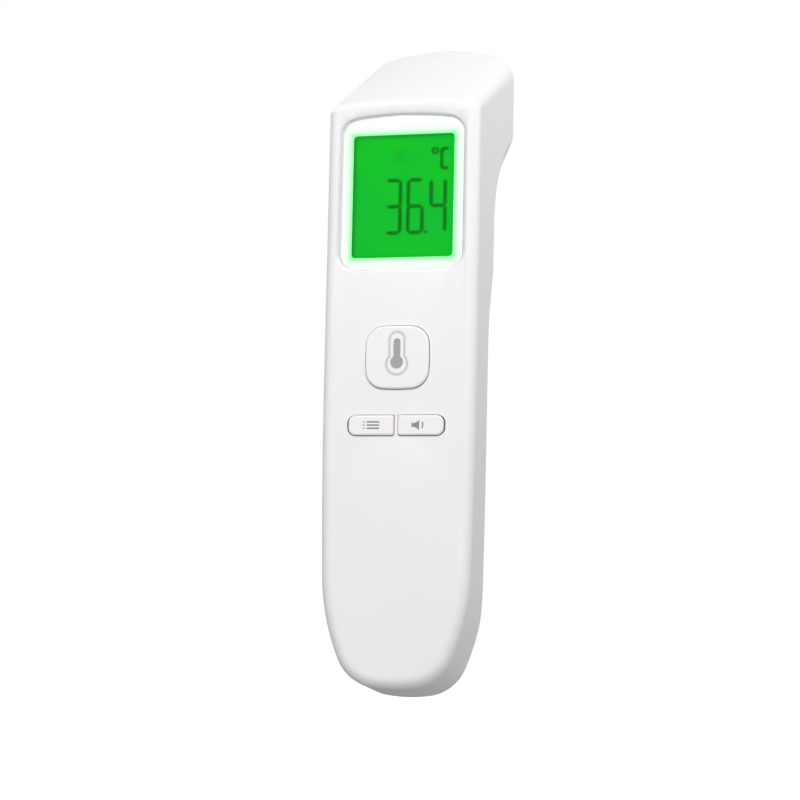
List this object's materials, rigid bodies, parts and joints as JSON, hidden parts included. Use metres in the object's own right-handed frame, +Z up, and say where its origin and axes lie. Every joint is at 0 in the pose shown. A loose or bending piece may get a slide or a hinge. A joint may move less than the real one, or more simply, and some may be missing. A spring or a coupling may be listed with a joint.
{
  "type": "digital thermometer",
  "caption": "Hand-held non-contact infrared thermometer with a hammer-shaped body, backlit display, measure button, keys and a sliding battery door.",
  "frame": {"origin": "centre of the bounding box at the lowest point of the body, which stands upright", "axes": "+Z up the length of the body, display facing -Y, infrared sensor facing +Y, +X to the right of a user who faces the display"},
  "size_m": [0.036, 0.0436, 0.1584],
  "materials": {
    "cover": "satin white ABS",
    "button": "satin white ABS",
    "window": "clear acrylic",
    "mask": "white print behind the window",
    "lcd": "backlit green display",
    "light_guide": "clear light guide",
    "inner_plastic": "moulded",
    "board": "green solder mask",
    "chip": "black moulding",
    "plunger": "moulded",
    "metal": "nickel plate",
    "cell": "plain metal jacket",
    "brass": "turned",
    "probe": "black moulding"
  },
  "bodies": {
    "housing": {"front_cover": "cover", "rear_cover": "cover", "display_window": "window", "window_mask": "mask", "lcd_panel": "lcd", "lcd_holder": "inner_plastic", "backlight_guide": "light_guide", "circuit_board": "board", "controller_chip": "chip", "buzzer": "chip", "clock_crystal": "metal", "measure_switch": "chip", "memory_switch": "chip", "sound_switch": "chip", "case_screws": "metal", "board_screws": "metal", "battery_tray": "inner_plastic", "cell_left": "cell", "cell_right": "cell", "contact_positive": "metal", "contact_negative": "metal", "contact_bridge": "metal", "spring_left": "metal", "spring_right": "metal", "probe_ring": "probe", "sensor_barrel": "brass", "thermopile_can": "metal", "sensor_board": "board"},
    "measure_button_body": {"measure_button": "button", "measure_plunger": "plunger"},
    "memory_key_body": {"memory_key": "button", "memory_plunger": "plunger"},
    "sound_key_body": {"sound_key": "button", "sound_plunger": "plunger"},
    "battery_door_body": {"battery_door": "cover"}
  },
  "joints": [
    {"name": "measure_press", "type": "slide", "parent": "housing", "child": "measure_button_body", "axis": [0, 1, 0], "range_m": [0, 0.00035], "stiffness_N_per_m": 3000, "springref_m": -0.0004},
    {"name": "memory_press", "type": "slide", "parent": "housing", "child": "memory_key_body", "axis": [0, 1, 0], "range_m": [0, 0.00035], "stiffness_N_per_m": 2500, "springref_m": -0.0004},
    {"name": "sound_press", "type": "slide", "parent": "housing", "child": "sound_key_body", "axis": [0, 1, 0], "range_m": [0, 0.00035], "stiffness_N_per_m": 2500, "springref_m": -0.0004},
    {"name": "door_slide", "type": "slide", "parent": "housing", "child": "battery_door_body", "axis": [0, 0, -1], "range_m": [0, 0.06]}
  ]
}
